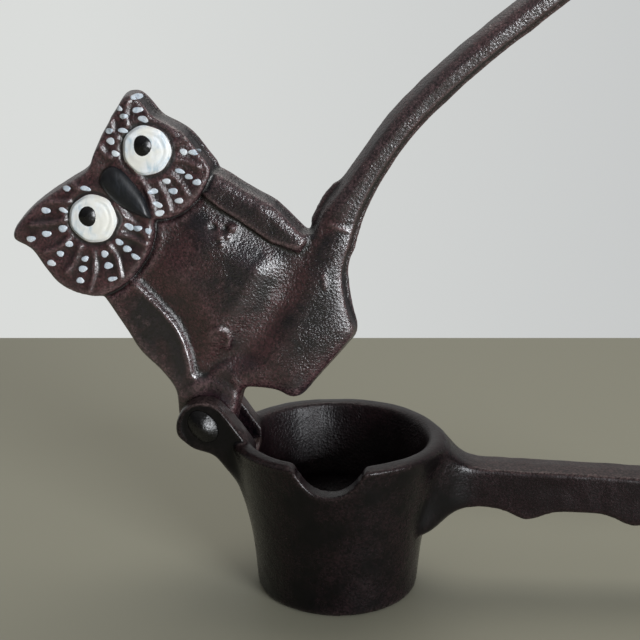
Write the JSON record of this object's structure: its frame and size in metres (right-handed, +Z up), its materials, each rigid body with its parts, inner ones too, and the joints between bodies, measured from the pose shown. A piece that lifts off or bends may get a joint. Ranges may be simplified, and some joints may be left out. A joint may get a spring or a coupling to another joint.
{
  "type": "lever nutcracker",
  "caption": "Cast-iron lever nutcracker: a round cup with a grip, and a hinged owl-shaped lever whose foot presses a nut down into the cup.",
  "frame": {"origin": "centre of the cup's flat base, which rests on the table", "axes": "+Z up, +X along the lower grip, -Y towards the owl's face"},
  "size_m": [0.2063, 0.0533, 0.165],
  "materials": {
    "iron": "blackened cast iron, semi-gloss",
    "rivet_iron": "blackened iron, polished by wear",
    "white_paint": "brushed white enamel",
    "black_paint": "gloss black enamel",
    "beak_paint": "satin blue-black enamel",
    "dot_paint": "pale blue-white enamel"
  },
  "bodies": {
    "base": {"cup_casting": "iron", "hinge_rivet": "rivet_iron"},
    "lever": {"owl_lever": "iron", "eye_white_left": "white_paint", "eye_white_right": "white_paint", "pupil_left": "black_paint", "pupil_right": "black_paint", "beak_paint": "beak_paint", "feather_dots_left": "dot_paint", "feather_dots_right": "dot_paint"}
  },
  "joints": [
    {"name": "lever_hinge", "type": "hinge", "parent": "base", "child": "lever", "pos_m": [-0.032, 0, 0.0443], "axis": [0, 1, 0], "range_deg": [-40, 50]}
  ]
}
